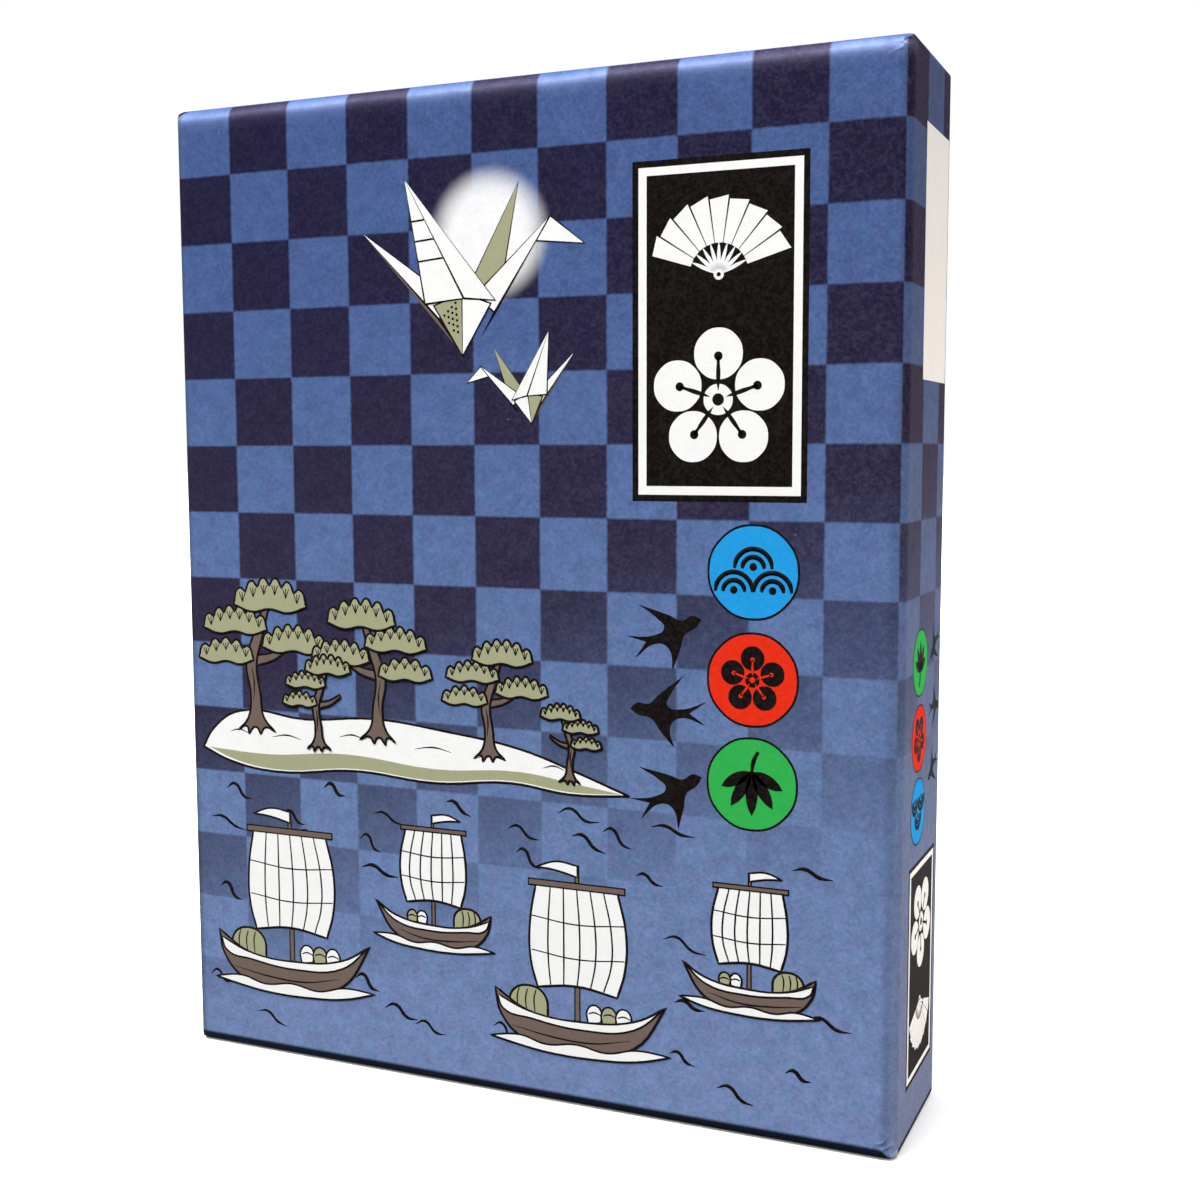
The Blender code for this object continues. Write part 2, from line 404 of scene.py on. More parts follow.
def wrap_print():
    """The lid's printed paper: an indigo check that fades out down the face and folds over all edges."""
    material, place, shader = start_material("wrap_print")
    x, y, z = place.split()
    tone, fibres = paper_grain(place)
    depth = y - FRONT
    height_half = HEIGHT / 2.0
    from_middle = z - height_half
    near_side = WIDTH / 2.0 - abs(x)
    near_end = height_half - abs(from_middle)
    on_side = near_side < near_end
    across = x + x.sign() * depth * on_side
    past_fold = place.sum("MAXIMUM", depth - FOLD_TAKE_UP, 0.0)
    upward = place.sum("MINIMUM", z, HEIGHT - FOLD_LIP) + from_middle.sign() * past_fold * (1.0 - on_side)
    wobble = (place.noise(900.0, 1.0) - 0.5) * PRINT_WOBBLE
    column = (across + wobble + WIDTH / 2.0) / SQUARE + FIRST_COLUMN
    row = (HEIGHT - upward + wobble) / SQUARE_RISE + FIRST_ROW
    crisp = SQUARE / (pi * PRINT_BLUR)
    column_wave = ((column * pi).sine() * crisp).clamp(-1.0, 1.0)
    row_wave = ((row * pi).sine() * crisp).clamp(-1.0, 1.0)
    dark_square = 0.5 - column_wave * row_wave * 0.5
    fade = ((row - FADE_ROW) * FADE_PER_ROW + (column - FADE_COLUMN) * FADE_PER_COLUMN).clamp()
    fade = fade ** FADE_CURVE
    down = (HEIGHT - upward) / HEIGHT
    pale = down.ramp(
        (0.0, srgb(70, 93, 145)),
        (0.2, srgb(75, 98, 150)),
        (0.42, srgb(89, 113, 163)),
        (0.66, srgb(102, 126, 171)),
        (0.95, srgb(116, 137, 183)),
    )
    deep = down.ramp(
        (0.0, srgb(31, 28, 58)),
        (0.18, srgb(35, 32, 61)),
        (0.32, srgb(42, 38, 65)),
        (0.48, srgb(48, 44, 69)),
        (1.0, srgb(56, 53, 76)),
    )
    colour = (dark_square * (1.0 - fade)).mix(pale, deep)
    hue = place.noise(420.0, 2.0).rise(0.64, 0.36)
    colour = hue.mix(colour.tinted((0.95, 1.02, 1.0)), colour.tinted((1.07, 0.985, 1.0)))
    bare_fibre = (fibres + 0.22).rise(0.5)
    # Pale fibres show through the ink; their share grows to the right as a painted sheen
    to_right = column.clamp(0.0, LAST_COLUMN)
    fibre_and_sheen_share = to_right * 0.0028 + 0.012
    colour = (bare_fibre * fibre_and_sheen_share).mix(colour, srgb(176, 166, 182))
    at_right = x > 0.0
    # Painted warm light: the right wall, back from its front fold, is tinted warm
    side_warm_light = (depth / FOLD_DEPTH).clamp() * on_side * at_right
    colour = side_warm_light.mix(colour, colour.tinted((1.05, 0.885, 0.76)))

    # A soft white bloom behind the folded crane, airbrushed with no edge
    reach = squared_distance((x - BLOOM_X) / BLOOM_RADIUS, (z - BLOOM_Z) / BLOOM_RADIUS)
    bloom = (1.0 - reach).rise(0.75) * (depth < FACE_DEPTH)
    paper_white = place.add("RGB")
    paper_white.socket.default_value = srgb(252, 252, 254)
    colour = bloom.mix(colour.scaled(tone), paper_white.scaled(tone * 0.25 + 0.75))

    # Paper rubbed pale along the folds, and a painted highlight along the top one
    to_edge, to_corner = from_folds(place, depth, near_side, near_end)
    scuff = place.noise(450.0, 4.0, 0.7)
    rub = (1.0 - to_edge / RUB_REACH).clamp() * (scuff - 0.5).rise(0.2)
    colour = (rub * 0.22).mix(colour, srgb(160, 168, 194))
    # Painted highlight: the crown is a pale band painted along the top fold, bluer on the pale squares, lilac
    # on the dark ones, a little stronger to the right
    from_top = near_end + (place.noise(60.0, 1.0) - 0.5) * TOP_HIGHLIGHT_WAVER
    crown = (from_top / TOP_HIGHLIGHT_REACH).ramp(*((share, grey(level)) for share, level in TOP_HIGHLIGHT_STOPS))
    crown = crown * (from_middle > 0.0) * (1.5 - depth / FOLD_DEPTH).clamp() * (scuff * 1.2 + 0.4)
    crown = crown * (to_right * 0.035 + 0.68) * (1.0 - dark_square * 0.66)
    colour = crown.mix(colour, dark_square.mix(srgb(176, 196, 252), srgb(190, 186, 226)))

    # Painted shade: a dark line along the foot, where the fold and the floor under it lie in shadow, and
    # painted shade on the fold at the left
    at_foot = from_middle < 0.0
    at_front = ((FRONT_DEPTH - depth) / MM).clamp()
    shade_end = ((WIDTH / 2.0 - FOOT_SHADE_END - x) / MM).clamp()
    shade_width = (shade_end * 2.0 - 1.0) * FOOT_SHADE_SWING * at_front + FOOT_SHADE
    past_foot = place.sum("MINIMUM", depth - FOOT_SHADE_DEPTH, near_side - FOOT_SHADE_SIDE)
    foot_shade = (1.0 - near_end / shade_width).rise(0.3) * at_foot * (1.0 - past_foot / MM).clamp()
    colour = (foot_shade * 0.95).mix(colour, srgb(6, 8, 16))
    # Painted shade along the fold at the left of the face
    left_fold_shade = ((LEFT_FOLD_SHADE - near_side) / MM).clamp() * at_front * (1.0 - at_right)
    colour = left_fold_shade.mix(colour, colour.tinted((0.62, 0.58, 0.46)))

    # Chipped and creased corners, a nick at the upper left, and a few pale specks
    at_corner = (1.0 - to_corner / CORNER_REACH).clamp()
    chip = (at_corner + scuff * 0.9 + at_foot * 0.04 - 1.08).rise(0.14)
    colour = (chip * (at_foot * at_right * 0.5 + 0.12)).mix(colour, srgb(190, 204, 240))
    from_nick = near_side + near_end * TEAR_SLANT + (scuff - 0.5) * TEAR_WAVER
    torn = (1.0 - from_nick / TEAR_REACH).rise(0.12) * (1.0 - at_right) * (1.0 - at_foot) * at_front
    colour = (torn * 0.9).mix(colour, srgb(14, 16, 24))
    ridge = 1.0 - abs(place.noise(300.0, 1.5, 0.6, 0.6) * 2.0 - 1.0)
    crease = ridge ** 4.0 * at_corner * at_corner * (at_right * 1.6 + 0.4)
    speck = place.add("TexVoronoi", {"Vector": place, "Scale": 150.0})
    colour = ((0.024 - speck).rise(0.016) * 0.4).mix(colour, srgb(190, 195, 205))
    relief = (fibres * 0.05 + crease).bump(0.5 * MM, 0.8)
    finish_surface(shader, colour, fibres * 0.12 + 0.7, 0.02, {"Normal": relief})
    return material


INK_COLOURS = {
    "white": (254, 254, 252),
    "sage": (170, 171, 136),
    "brown": (116, 100, 92),
    "black": (15, 10, 9),
    "sky": (34, 160, 232),
    "red": (238, 48, 22),
    "leaf": (50, 180, 82),
}
INKS = {name: printed_ink("ink_" + name, srgb(*colour)) for name, colour in INK_COLOURS.items()}
INKS["label"] = printed_ink("label_paper", srgb(255, 248, 241), 0.4, 0.6)
WRAP_PRINT = wrap_print()
TRAY_PAPER = tray_wrap_paper()
GREYBOARD = plain_paper("greyboard", srgb(152, 144, 132), srgb(138, 130, 119), 0.85, srgb(96, 88, 80))
LINER_PAPER = plain_paper("liner_paper", srgb(238, 234, 224), srgb(230, 225, 213), 0.75)
CORNER_TAPE = plain_paper("corner_tape", srgb(176, 140, 98), srgb(164, 128, 88), 0.6)


# The wraps


def rim_path():
    """Steps of the fold over the rim: how far in from the outside, and how far back from the rim."""
    angles = [pi / 2.0 * step / RIM_SEGMENTS for step in range(RIM_SEGMENTS + 1)]
    rises = [(RIM_RADIUS * (1.0 - cos(angle)), RIM_RADIUS * (1.0 - sin(angle))) for angle in angles]
    return rises[1:] + [(WALL - back, inset) for inset, back in rises] + [(WALL, TURN_IN)]


def edge_kind(edge, middle):
    """Which of the shell's edges this is: along its top or foot, up a side, or front to back."""
    run = edge.verts[1].co - edge.verts[0].co
    if abs(run.y) > max(abs(run.x), abs(run.z)):
        return "corner"
    if abs(run.z) > abs(run.x):
        return "left" if edge.verts[0].co.x < middle.x else "right"
    return "top" if edge.verts[0].co.z > middle.z else "foot"


def round_edges(wrap, middle, radii):
    """Give every folded edge its own radius, then bevel all of them together."""
    widest = max(radii.values())
    set_mode("EDIT")
    for kind, radius in radii.items():
        choose(wrap, "edges", lambda edge: not edge.is_boundary and edge_kind(edge, middle) == kind)
        bpy.ops.transform.edge_bevelweight(value=radius / widest)
    set_mode("OBJECT")
    folds = wrap.modifiers.new("folds", "BEVEL")
    folds.limit_method = "WEIGHT"
    folds.width = widest
    folds.segments = EDGE_SEGMENTS
    bpy.ops.object.modifier_apply(modifier=folds.name)


def make_folded_wrap(name, low, high, open_side, radii, paper):
    """A sheet folded round the board: face, four walls, rounded rim and turned-in edge."""
    size = high - low
    middle = (low + high) / 2.0
    wrap = add_block(size, middle)
    wrap.name = name
    set_mode("EDIT")
    choose(wrap, "faces", lambda face: face.normal.y * open_side > FACING)
    bpy.ops.mesh.delete(type="FACE")
    set_mode("OBJECT")
    round_edges(wrap, middle, radii)
    set_mode("EDIT")
    choose(wrap, "edges", lambda edge: edge.is_boundary)
    bpy.ops.transform.translate(value=(0.0, -RIM_RADIUS * open_side, 0.0))
    inset = 0.0
    back = RIM_RADIUS
    for next_inset, next_back in rim_path():
        bpy.ops.mesh.extrude_edges_indiv()
        bpy.ops.transform.translate(value=(0.0, (back - next_back) * open_side, 0.0))
        narrower = (size.x - 2.0 * next_inset) / (size.x - 2.0 * inset)
        shorter = (size.z - 2.0 * next_inset) / (size.z - 2.0 * inset)
        bpy.ops.transform.resize(value=(narrower, 1.0, shorter), center_override=middle)
        inset = next_inset
        back = next_back
    choose(wrap, "faces", lambda face: face.calc_area() > WALL_AREA)
    bpy.ops.mesh.inset(thickness=FLAT_MARGIN, use_individual=True)
    bpy.ops.mesh.select_all(action="SELECT")
    bpy.ops.mesh.normals_make_consistent(inside=False)
    set_mode("OBJECT")
    thickness = wrap.modifiers.new("paper", "SOLIDIFY")
    thickness.thickness = PAPER
    thickness.offset = -1.0
    thickness.use_even_offset = True
    bpy.ops.object.modifier_apply(modifier=thickness.name)
    bpy.ops.object.shade_smooth_by_angle(angle=SMOOTH_ANGLE)
    cover(wrap, paper)
    return wrap


# The print's pictures


def corners(*points):
    """Points that stay sharp."""
    return [(x, z, 0) for x, z in points]


def rectangle(left, low, right, high):
    return corners((left, low), (right, low), (right, high), (left, high))


def polar(radius, turn, x=0.0, z=0.0):
    """A point at a distance from x, z, turned from the right."""
    return (x + radius * cos(turn), z + radius * sin(turn))


def ring(x, z, radius, count=8):
    return [polar(radius, 2.0 * pi * step / count, x, z) for step in range(count)]


def turn_and_move(points, turn, x, z):
    """Points turned about the origin, then moved. Marks of sharp corners stay on them."""
    along, up = cos(turn), sin(turn)
    return [(x + px * along - pz * up, z + px * up + pz * along, *rest) for px, pz, *rest in points]


def petal(x, z, length, width, angle, blunt=False):
    """A leaf, feather or petal from its root outwards."""
    half = width / 2.0
    tip = [(length, 0.0)] if blunt else [(length, 0.0, 0)]
    loop = [(0.0, 0.0, 0), (length * 0.32, half), (length * 0.78, half * 0.8)]
    loop += tip + [(length * 0.78, -half * 0.8), (length * 0.32, -half)]
    return turn_and_move(loop, radians(angle), x, z)


class Stencil:
    """Shapes and brush strokes of one printed picture, in millimetres on its own sheet."""

    def __init__(self):
        self.shapes = []
        self.strokes = []
        self.move(0.0, 0.0)

    def move(self, x, z, scale=1.0, turn=0.0, flip=1.0, level=0):
        """Set the place of the next motif. Its layers start at the level given."""
        self.centre = (x, z)
        self.scale = scale
        self.turn = radians(turn)
        self.flip = flip
        self.layer = level

    def put(self, points):
        sized = [(x * self.scale * self.flip, z * self.scale, *rest) for x, z, *rest in points]
        return turn_and_move(sized, self.turn, *self.centre)

    def fill(self, ink, *loops):
        """A flat patch of ink. A loop inside another one is a hole."""
        self.layer += 1
        self.shapes.append((ink, [self.put(loop) for loop in loops], self.layer))

    def dab(self, ink, loop):
        """A patch of ink that leaves its layer to the next patch."""
        self.fill(ink, loop)
        self.layer -= 1

    def stroke(self, points, width=LINE, ends=0.25, closed=False):
        """A black line. Its ends are drawn out to a share of the width."""
        self.strokes.append((self.put(points), width, ends, closed, self.layer + 1))

    def patch(self, ink, loop, width=LINE):
        """A patch of ink with a black line round it."""
        self.fill(ink, loop)
        self.stroke(loop, width, closed=True)
        self.layer += 1

    def press(self, name, place, turn):
        """Make everything one thin piece on the paper."""
        clear_selection()
        for ink, loops, layer in self.shapes:
            top = FIRST_LAYER + layer * LAYER_STEP
            curve = bpy.data.curves.new(name, "CURVE")
            curve.dimensions = "2D"
            curve.fill_mode = "BOTH"
            curve.resolution_u = CURVE_STEPS
            curve.extrude = (top + SUNK) / 2.0
            curve.materials.append(INKS[ink])
            for loop in loops:
                add_spline(curve, loop, True)
            lay_curve(name, curve, (top - SUNK) / 2.0)
        if self.strokes:
            curve = bpy.data.curves.new(name, "CURVE")
            curve.dimensions = "3D"
            curve.twist_mode = "Z_UP"
            curve.resolution_u = CURVE_STEPS
            curve.bevel_depth = MM / 2.0
            curve.bevel_resolution = 0
            curve.use_fill_caps = True
            curve.materials.append(INKS["black"])
            for points, width, ends, closed, layer in self.strokes:
                rise = (FIRST_LAYER + layer * LAYER_STEP) / STROKE_FLATNESS
                add_spline(curve, points, closed, rise, width, ends)
            lay_curve(name, curve, 0.0).scale.z = STROKE_FLATNESS
        bpy.ops.object.convert(target="MESH")
        apply_transform()
        bpy.ops.object.join()
        piece = bpy.context.object
        piece.name = name
        # Merged while a millimetre is one unit, because the tool has a least distance of its own
        piece.scale = (1.0 / MM, 1.0 / MM, 1.0 / MM)
        apply_transform()
        set_mode("EDIT")
        bpy.ops.mesh.select_all(action="SELECT")
        bpy.ops.mesh.remove_doubles(threshold=MERGE)
        bpy.ops.mesh.normals_make_consistent(inside=False)
        set_mode("OBJECT")
        piece.scale = (MM, MM, MM)
        piece.location = place
        piece.rotation_euler = (pi / 2.0, 0.0, turn)
        apply_transform()
        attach(piece, "lid")


def add_spline(curve, points, closed, rise=0.0, width=1.0, ends=1.0):
    """One smooth line through the points. A third value marks a sharp corner."""
    spline = curve.splines.new("BEZIER")
    last = len(points) - 1
    spline.bezier_points.add(last)
    spline.use_cyclic_u = closed
    for index, (knot, (x, z, *sharp)) in enumerate(zip(spline.bezier_points, points)):
        knot.co = (x * MM, z * MM, rise)
        knot.handle_left_type = "VECTOR" if sharp else "AUTO"
        knot.handle_right_type = knot.handle_left_type
        at_end = not closed and index in (0, last)
        knot.radius = width * (ends if at_end else 1.0)


def lay_curve(name, curve, height):
    sheet = add_object(name, curve)
    sheet.location.z = height
    pick(sheet)
    return sheet


def draw_fan(sheet, x, z, scale, turn=0.0):
    """An open folding fan, in white on the black plaque."""
    pleats, spread, outer, inner = 9, 148.0, 12.2, 5.0
    sheet.move(x, z, scale, turn, level=MARK_LEVEL)
    step = spread / pleats
    for pleat in range(pleats):
        start = 90.0 - spread / 2.0 + pleat * step + 0.7
        end = start + step - 1.4
        loop = [(inner, start), (outer + 0.25, start), (outer - 0.35, end), (inner, end)]
        sheet.dab("white", corners(*(polar(radius, radians(angle)) for radius, angle in loop)))
    for rib in range(pleats):
        angle = 90.0 - spread / 2.0 + (rib + 0.5) * step
        sheet.dab("white", petal(0, 0, inner + 0.2, 0.55, angle))
    sheet.layer += 1
    sheet.fill("white", ring(0, 0, 0.85))
    sheet.fill("black", ring(0, 0, 0.35))


def draw_blossom(sheet, x, z, scale, petals="white", lines="black", turn=0.0):
    """A five-petalled blossom with stamens."""
    near, far = 1.0, 5.3
    angles = [radians(90.0 + 72.0 * index) for index in range(5)]
    sheet.move(x, z, scale, turn, level=MARK_LEVEL)
    for angle in angles:
        sheet.dab(petals, ring(*polar(5.6, angle), 3.15))
    sheet.layer += 1
    sheet.fill(petals, ring(0, 0, 1.9))
    for angle in angles:
        sheet.dab(lines, petal(*polar(near, angle), far - near, 0.5, degrees(angle), True))
        sheet.dab(lines, ring(*polar(far, angle), 0.55))
    sheet.layer += 2
    sheet.fill(lines, ring(0, 0, 0.75))


def draw_wave_scales(sheet, x, z, scale, turn=0.0):
    """Three wave scales, each of two arcs and a core."""
    sheet.move(x, z, scale, turn, level=MARK_LEVEL)
    for centre_x, centre_z in ((0, 0.6), (-3.1, -3), (3.1, -3)):
        for radius in (3.0, 1.75):
            arc = [polar(radius, pi * step / 8.0, centre_x, centre_z) for step in range(9)]
            sheet.stroke(arc, 0.75, 0.6)
        sheet.dab("black", ring(centre_x, centre_z + 0.25, 0.6))


def draw_bamboo(sheet, x, z, scale, turn=0.0):
    """A spray of bamboo leaves."""
    sheet.move(x, z, scale, turn, level=MARK_LEVEL)
    for angle, length in ((-152, 5.6), (-121, 6.6), (-90, 7), (-59, 6.6), (-28, 5.6)):
        sheet.dab("black", petal(0, 2, length, 1.75, angle))
    sheet.stroke([(0, 2), (0.25, 3.6), (1, 5.2)], 0.7, 0.7)


def draw_bird(sheet, x, z, scale, turn=0.0, flip=1.0):
    """A swallow on the wing, as a brush shape."""
    sheet.move(x, z, scale, turn, flip)
    body = [(6, 0.5, 0), (4.7, 1.5), (2.6, 1.3), (0.8, 2.7), (-3.9, 5.9, 0), (-1.3, 2.6), (-0.7, 1)]
    body += [(-3, 0.3), (-7.6, 1.5, 0), (-4.5, -0.4, 0), (-7.2, -2.4, 0), (-2.6, -1.2), (-1, -2.6)]
    body += [(-1.5, -6.2, 0), (0.9, -3.2), (2.4, -1.1), (4.6, -0.5)]
    sheet.fill("black", body)


def draw_pine(sheet, x, z, scale, flip=1.0, level=0, tall=True):
    """A shore pine: a leaning trunk and flat pads of needles."""
    sheet.move(x, z, scale, 0.0, flip, level)
    trunk = [(-3.2, -1.6, 0), (-1.3, 0.4), (-0.7, 4), (-1.4, 9), (0.2, 14), (2.2, 18.6, 0)]
    trunk += [(2.9, 17.6, 0), (1.7, 13.4), (0.5, 9), (1.1, 4.2), (1.7, 0.6), (3.8, -1.5, 0)]
    trunk += [(1.9, -0.9), (1, -2, 0), (0.1, -0.9), (-1.2, -2.1, 0), (-1.6, -0.9)]
    limb = [(0.4, 10.4, 0), (3.6, 11), (6.6, 12.6, 0), (6.8, 11.9, 0), (3.8, 9.8), (0.6, 8.8, 0)]
    sheet.patch("brown", limb)
    sheet.patch("brown", trunk)
    sheet.stroke([(-0.2, 3), (0, 6), (-0.4, 8.6)], 0.3)
    pads = [(7.4, 11.8, 11.6, 4.4), (-5.2, 9.6, 10.4, 4), (-3.4, 14.4, 12, 4.4), (3.2, 18.2, 13.4, 5.2)]
    for pad_x, pad_z, width, rise in pads if tall else pads[1:]:
        lobes = max(4, round(width / 2.1))
        loop = [(pad_x - width * 0.5, pad_z, 0)]
        for lobe in range(lobes):
            middle = (lobe + 0.5) / lobes
            crown = 0.6 * sin(pi * middle) ** 0.6 + 0.24
            loop.append((pad_x + width * (middle - 0.5), pad_z + rise * crown))
            share = (lobe + 1.0) / lobes
            if lobe < lobes - 1:
                dip = 0.6 * sin(pi * share) ** 0.6
                loop.append((pad_x + width * (share - 0.5), pad_z + rise * dip, 0))
        loop.append((pad_x + width * 0.5, pad_z, 0))
        loop += [(pad_x + width * 0.25, pad_z - rise * 0.2), (pad_x, pad_z - rise * 0.1)]
        loop.append((pad_x - width * 0.25, pad_z - rise * 0.2))
        sheet.patch("sage", loop)
        for lobe in range(lobes):
            middle = (lobe + 0.5) / lobes
            tick_x = pad_x + width * (middle - 0.5) * 0.9
            tick_z = pad_z + rise * 0.34 * sin(pi * middle)
            for lean in (-0.55, 0.0, 0.55):
                sheet.stroke([(tick_x, tick_z), (tick_x + lean, tick_z + rise * 0.28)], 0.36, 0.5)
        sheet.layer += 1


def draw_boat(sheet, x, z, scale, flip=1.0, level=0, bales=3):
    """A coasting boat with a square sail of cloth strips, an awning and bales on deck."""
    sheet.move(x, z, scale, 0.0, flip, level)
    sheet.patch("brown", corners((0.1, 0), (1, 0), (0.85, 26), (0.25, 26)), FINE_LINE)
    pennant = [(0.6, 26, 0), (-3, 26.4), (-6.6, 25.2, 0), (-3.4, 25), (0.6, 24.2, 0)]
    sheet.patch("white", pennant, FINE_LINE)
    sail = [(-6.4, 5.6, 0), (-7.6, 10), (-7.7, 16), (-6.6, 22.6, 0)]
    sail += [(7.4, 22.6, 0), (8.9, 16), (8.7, 10), (7.4, 5.6, 0), (0.4, 6.5)]
    sheet.patch("white", sail)
    for strip in range(1, 6):
        foot = -6.4 + 13.8 * strip / 6.0
        bulge = (strip - 3.0) * 0.42 + 0.45
        sheet.stroke([(foot, 6.2), (foot + bulge, 10.5), (foot + bulge, 16), (foot, 22.2)], 0.3, 0.8)
    for batten in (11.6, 17.2):
        sheet.stroke([(-7.4, batten), (0.4, batten - 0.7), (8.6, batten)], 0.24, 0.8)
    sheet.layer += 1
    sheet.patch("brown", corners((-7.9, 22.2), (8.7, 22.2), (8.7, 23.2), (-7.9, 23.2)), FINE_LINE)
    awning = [(-11.4, 1.2, 0), (-11, 4.2), (-8.2, 5.6), (-5.2, 4.4), (-4.6, 0.8, 0)]
    sheet.patch("sage", awning)
    for rib in (-9.7, -8.2, -6.7):
        sheet.stroke([(rib - 0.2, 1.4), (rib - 0.35, 3.6), (rib, 5)], 0.28, 0.7)
    sheet.layer += 1
    for bale in range(bales):
        left = 2.4 + bale * 2.5
        loop = [(left, 0.8, 0), (left - 0.1, 3.0), (left + 1.1, 3.9), (left + 2.3, 3.0), (left + 2.2, 1.2, 0)]
        sheet.patch("sage" if bale % 2 else "white", loop, FINE_LINE)
        sheet.stroke([(left + 0.1, 2.4), (left + 1.1, 2.7), (left + 2.2, 2.4)], 0.26, 0.8)
        sheet.layer += 1
    hull = [(-14, 4.6, 0), (-13, 0.4), (-9, -3.2), (2, -3.9), (10.2, -2.2), (15.6, 5.2, 0)]
    hull += [(10.4, 2.2), (1, 0.8), (-8, 1.4)]
    sheet.patch("brown", hull)
    band = [(-13.6, 3.4, 0), (-12.6, 1.2), (-7.6, 0.2), (1.4, -0.5), (10.2, 0.8), (15.2, 4.8, 0)]
    band += [(10.4, 2.2), (1, 0.8), (-8, 1.4)]
    sheet.patch("white", band, FINE_LINE)
    sheet.stroke([(-11, -1.4), (-4, -2.3), (3, -2.4), (9.6, -1)], 0.28)
    sheet.layer += 1
    foam = [(-15, -3.6, 0), (-9.6, -2.8), (-5, -3.7), (0.4, -3), (5.6, -3.6), (10.6, -2.4)]
    foam += [(16.4, -2.6, 0), (10.8, -4.2), (4.6, -4.9), (-4.4, -5), (-10, -4.4)]
    sheet.patch("white", foam, FINE_LINE)


def draw_folded_crane(sheet, x, z, scale, turn=0.0, flip=1.0, dots=True):
    """A crane folded from a square of paper: each facet is a plane of its own tone."""
    sheet.move(x, z, scale, turn, flip)
    facets = [
        ("sage", (0.4, -3.4), (12.6, 18.2), (8.2, -4.2)),
        ("white", (-4, -2.5), (-22.6, 10.2), (-5.2, -7.6)),
        ("brown", (-5.2, -7.6), (-22.6, 10.2), (-1.4, -13)),
        ("white", (3, -3), (19.4, 11.4), (7.2, -6.6)),
        ("brown", (7.2, -6.6), (19.4, 11.4), (4.2, -11.2)),
        ("white", (19.4, 11.4), (26.6, 5.8), (16.4, 6.8)),
        ("sage", (-6.4, -4.8), (0, -2.6), (0, -14.8)),
        ("white", (0, -2.6), (6.4, -4.8), (0, -14.8)),
        ("white", (-8.4, -4.4), (-12.8, 20.4), (0.4, -3.6)),
        ("white", (0.4, -3.6), (-12.8, 20.4), (7.4, -4.2)),
    ]
    for ink, *points in facets:
        sheet.patch(ink, corners(*points), LINE if dots else LINE * 0.7)
    if dots:
        for step in range(1, 7):
            for place in range(step):
                dot_x = -0.6 - (step - place) * 0.85 + place * 0.1
                dot_z = -3.6 - step * 1.15 + (step - place) * 0.35
                if dot_x > -6.4 + (-4.8 - dot_z) * 0.66 + 0.5:
                    sheet.dab("black", ring(dot_x, dot_z, 0.26, 6))
        for band in (0.34, 0.5, 0.66):
            low_end = (-8.4 + (-12.8 + 8.4) * band, -4.4 + 24.8 * band)
            far_end = (0.4 + (-12.8 - 0.4) * band, -3.6 + 24.0 * band)
            sheet.stroke([low_end, far_end], 0.3, 1)


def draw_sandbank(sheet):
    """A long bank of pale sand with a shaded foot."""
    sheet.move(0.0, 0.0)
    crest = [(-62, 55.2, 0), (-59.6, 58.8), (-54, 62.2), (-40, 61.6), (-26, 62.6), (-12, 61.4)]
    crest += [(2, 59.4), (12, 56.4), (21.4, 53.2, 0)]
    shore = [(21.4, 53.2, 0), (11, 52.6), (0, 53.6), (-14, 52.4), (-30, 53.2), (-46, 51.8)]
    shore += [(-56, 53), (-62, 55.2, 0)]
    sheet.fill("white", crest + shore[1:])
    foot = [(-60.6, 55.2, 0), (-48, 54.8), (-32, 56), (-14, 54.8), (2, 55.6)]
    foot += [(12, 54.4), (20, 53.4, 0), (11, 53), (0, 54), (-14, 52.8), (-30, 53.6)]
    foot += [(-46, 52.2), (-55, 53.3)]
    sheet.fill("sage", foot)
    sheet.stroke(crest, LINE, 1)
    sheet.stroke(shore, LINE, 1)
    drifts = ((-56, 58.4, 4), (-47, 58, 6), (-33, 59, 5), (-18, 58, 7), (-6, 57.4, 5), (6, 56.6, 4))
    for x, z, length in drifts:
        sheet.stroke([(x, z), (x + length * 0.5, z + 0.5), (x + length, z - 0.1)], 0.3)


def draw_ripples(sheet, draws, spots):
    """Short brushed water lines, each a little different."""
    for x, z in spots:
        length = draws.uniform(4.0, 7.5)
        fall = draws.uniform(-2.6, -0.8)
        swell = draws.uniform(0.6, 1.3)
        sheet.move(x + draws.uniform(-1.5, 1.5), z + draws.uniform(-0.8, 0.8))
        line = [(0, 0), (length * 0.3, swell + fall * 0.2)]
        line += [(length * 0.68, fall * 0.6 - swell * 0.3), (length, fall)]
        sheet.stroke(line, draws.uniform(0.45, 0.7), 0.15)


def draw_plaque(sheet, x, z, scale, turn=0.0):
    """A black plaque with a white frame line, holding a fan and a blossom."""
    sheet.move(x, z, scale, turn)
    sheet.fill("black", rectangle(-14.1, -26, 14.1, 26))
    sheet.fill("white", rectangle(-13.1, -25, 13.15, 25), rectangle(-11.75, -23.65, 11.8, 23.75))
    up = 1.0 if turn == 0.0 else -1.0
    draw_fan(sheet, x, z + 8.4 * scale * up, 0.95 * scale, turn)
    draw_blossom(sheet, x, z - 10.4 * scale * up, 1.24 * scale, turn=turn)


def draw_discs(sheet, x, heights, scale, turn=0.0):
    """Three coloured discs, each with a black mark."""
    for ink, z in zip(("sky", "red", "leaf"), heights):
        sheet.move(x, z, scale, turn)
        sheet.fill("black", ring(0, 0, 7.4))
        sheet.fill(ink, ring(0, 0, 7.05))
    draw_wave_scales(sheet, x, heights[0], scale, turn)
    draw_blossom(sheet, x, heights[1], 0.6 * scale, "black", "red", turn)
    draw_bamboo(sheet, x, heights[2], scale, turn)


